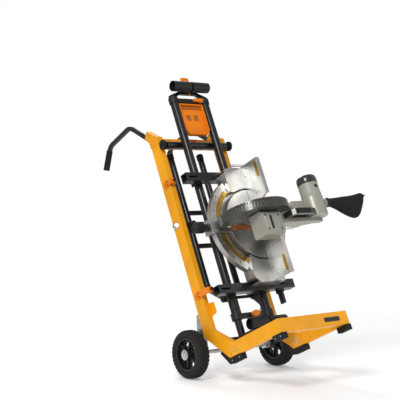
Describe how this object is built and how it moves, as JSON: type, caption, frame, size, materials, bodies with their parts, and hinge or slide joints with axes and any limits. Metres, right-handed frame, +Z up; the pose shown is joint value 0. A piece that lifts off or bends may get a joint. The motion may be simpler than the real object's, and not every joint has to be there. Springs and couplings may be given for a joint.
{
  "type": "mitre saw on stand",
  "caption": "Compound mitre saw clamped upright on a folding wheeled stand with rails, rollers, pivoting leg frame, handles and a toe that lets it stand or roll.",
  "frame": {"origin": "on the floor under the middle of the whole outline", "axes": "+Z up; the toe points to -Y and the push handles to +Y; X runs along the wheel axle, with the front of the saw to -X"},
  "size_m": [0.8761, 1.0031, 1.505],
  "materials": {
    "orange_paint": "gloss",
    "black_paint": "semi-gloss",
    "black_plastic": "satin",
    "orange_plastic": "satin",
    "rubber": "matte",
    "tyre": "matte",
    "steel": "satin",
    "chrome": "polished",
    "cast_alloy": "satin",
    "putty_plastic": "satin",
    "putty_alloy": "satin",
    "smoke_plastic": "gloss",
    "handle_plastic": "gloss",
    "brass": "satin",
    "kerf_plastic": "matte",
    "bag_fabric": "matte",
    "black_steel": "satin",
    "cast_alloy_black": "satin"
  },
  "bodies": {
    "cart": {"side_frame": "orange_paint", "toe_bar": "orange_paint", "head_bar": "orange_paint", "tie_tube": "black_paint", "slide_bar": "black_paint", "slide_caps": "rubber", "pivot_shaft": "chrome", "rubber_feet": "rubber", "axle": "steel", "axle_brackets": "steel", "handle_sockets": "orange_paint", "handle_tubes": "black_paint", "handle_grips": "rubber", "latches": "orange_plastic", "latch_pins": "black_plastic", "latch_plates": "orange_paint", "hub_caps": "steel"},
    "wheel_near": {"tyre_near": "tyre", "rim_near": "black_plastic"},
    "wheel_far": {"tyre_far": "tyre", "rim_far": "black_plastic"},
    "tab": {"release_tab": "orange_plastic"},
    "legs": {"leg_tubes": "black_paint", "leg_hooks": "black_paint", "leg_bars": "black_paint"},
    "leg_slide": {"leg_extension": "black_steel", "leg_feet": "rubber"},
    "rail_frame": {"rails": "black_paint", "rail_end_low": "cast_alloy_black", "rail_end_top": "cast_alloy_black", "tray": "orange_plastic"},
    "carrier_top": {"extension_top": "black_paint"},
    "top_roller": {"roller_top": "black_plastic"},
    "top_knob": {"knob_top": "orange_plastic"},
    "top_lever": {"lever_top": "orange_plastic"},
    "carrier_low": {"extension_low": "black_paint"},
    "low_roller": {"roller_low": "black_plastic"},
    "low_knob": {"knob_low": "orange_plastic"},
    "carriage": {"saw_mounts": "black_paint", "saw_base": "cast_alloy", "mitre_scale": "brass", "fence_left": "cast_alloy", "fence_right": "cast_alloy", "fence_strips": "brass"},
    "upper_clamp": {"clamp_upper": "black_steel"},
    "lower_clamp": {"clamp_lower": "black_steel"},
    "wing_rod": {"side_rod": "chrome"},
    "table": {"turntable": "cast_alloy", "kerf_plates": "kerf_plastic"},
    "mitre_grip": {"mitre_knob": "black_plastic"},
    "bevel": {"bevel_arm": "cast_alloy"},
    "bevel_lock": {"bevel_lever": "steel"},
    "head": {"head_body": "putty_alloy", "motor": "putty_plastic", "head_handle": "handle_plastic", "upper_guard": "putty_alloy", "dust_bag": "bag_fabric"},
    "trigger_key": {"trigger": "orange_plastic"},
    "guard": {"lower_guard": "smoke_plastic"},
    "blade": {"saw_blade": "steel"}
  },
  "joints": [
    {"name": "wheel_near_spin", "type": "hinge", "parent": "cart", "child": "wheel_near", "pos_m": [-0.39691, 0.12267, 0.1143], "axis": [1, 0, 0], "continuous": true},
    {"name": "wheel_far_spin", "type": "hinge", "parent": "cart", "child": "wheel_far", "pos_m": [0.15609, 0.12267, 0.1143], "axis": [1, 0, 0], "continuous": true},
    {"name": "release_tab_slide", "type": "slide", "parent": "cart", "child": "tab", "axis": [0, 0, 1], "range_m": [0, 0.005], "stiffness_N_per_m": 400, "springref_m": -0.01},
    {"name": "leg_fold", "type": "hinge", "parent": "cart", "child": "legs", "pos_m": [-0.12041, 0.04067, 0.733], "axis": [-1, 0, 0], "range_deg": [0, 90]},
    {"name": "leg_extend", "type": "slide", "parent": "legs", "child": "leg_slide", "axis": [0, 0, 1], "range_m": [0, 0.3]},
    {"name": "rail_fold", "type": "hinge", "parent": "legs", "child": "rail_frame", "pos_m": [-0.12041, -0.02433, 0.326], "axis": [-1, 0, 0], "range_deg": [-45, 0]},
    {"name": "top_extend", "type": "slide", "parent": "rail_frame", "child": "carrier_top", "axis": [0, 0, 1], "range_m": [0, 0.3]},
    {"name": "top_roller_spin", "type": "hinge", "parent": "carrier_top", "child": "top_roller", "pos_m": [-0.12041, -0.10533, 1.434], "axis": [1, 0, 0], "continuous": true},
    {"name": "top_knob_turn", "type": "hinge", "parent": "carrier_top", "child": "top_knob", "pos_m": [-0.10841, -0.06733, 1.407], "axis": [0, 0, 1], "range_deg": [-90, 90]},
    {"name": "top_lever_turn", "type": "hinge", "parent": "rail_frame", "child": "top_lever", "pos_m": [-0.05841, -0.08733, 1.369], "axis": [0, -1, 0], "range_deg": [0, 80]},
    {"name": "low_extend", "type": "slide", "parent": "rail_frame", "child": "carrier_low", "axis": [0, 0, -1], "range_m": [0, 0.18]},
    {"name": "low_roller_spin", "type": "hinge", "parent": "carrier_low", "child": "low_roller", "pos_m": [-0.12041, -0.15433, 0.155], "axis": [1, 0, 0], "continuous": true},
    {"name": "low_knob_turn", "type": "hinge", "parent": "rail_frame", "child": "low_knob", "pos_m": [-0.12041, -0.08733, 0.22], "axis": [0, 1, 0], "range_deg": [-90, 90]},
    {"name": "carriage_slide", "type": "slide", "parent": "rail_frame", "child": "carriage", "axis": [0, 0, 1], "range_m": [-0.05, 0.1]},
    {"name": "upper_clamp_turn", "type": "hinge", "parent": "carriage", "child": "upper_clamp", "pos_m": [0.02959, -0.11033, 0.888], "axis": [0, 1, 0], "range_deg": [0, 80]},
    {"name": "lower_clamp_turn", "type": "hinge", "parent": "carriage", "child": "lower_clamp", "pos_m": [0.06059, -0.11033, 0.311], "axis": [0, 1, 0], "range_deg": [0, 80]},
    {"name": "wing_rod_slide", "type": "slide", "parent": "carriage", "child": "wing_rod", "axis": [0, 0, 1], "range_m": [0, 0.06]},
    {"name": "mitre_turn", "type": "hinge", "parent": "carriage", "child": "table", "pos_m": [-0.04541, -0.20233, 0.635], "axis": [0, -1, 0], "range_deg": [-45, 45]},
    {"name": "mitre_grip_turn", "type": "hinge", "parent": "table", "child": "mitre_grip", "pos_m": [-0.34541, -0.16633, 0.635], "axis": [1, 0, 0], "range_deg": [-90, 90]},
    {"name": "bevel_tilt", "type": "hinge", "parent": "table", "child": "bevel", "pos_m": [0.15459, -0.20233, 0.635], "axis": [-1, 0, 0], "range_deg": [0, 12]},
    {"name": "bevel_lock_turn", "type": "hinge", "parent": "bevel", "child": "bevel_lock", "pos_m": [0.19459, -0.20233, 0.635], "axis": [-1, 0, 0], "range_deg": [0, 60]},
    {"name": "chop", "type": "hinge", "parent": "bevel", "child": "head", "pos_m": [0.16959, -0.33733, 0.635], "axis": [0, 0, 1], "range_deg": [0, 40]},
    {"name": "trigger_press", "type": "slide", "parent": "head", "child": "trigger_key", "axis": [0, -1, 0], "range_m": [0, 0.004], "stiffness_N_per_m": 500, "springref_m": -0.004},
    {"name": "guard_turn", "type": "hinge", "parent": "head", "child": "guard", "pos_m": [-0.15041, -0.30733, 0.635], "axis": [0, 0, -1], "range_deg": [0, 100]},
    {"name": "blade_spin", "type": "hinge", "parent": "head", "child": "blade", "pos_m": [-0.15041, -0.30733, 0.635], "axis": [0, 0, 1], "continuous": true}
  ],
  "couplings": [
    {"joint": "rail_fold", "follows": "leg_fold", "ratio": -0.5},
    {"joint": "guard_turn", "follows": "chop", "ratio": 2.4}
  ]
}
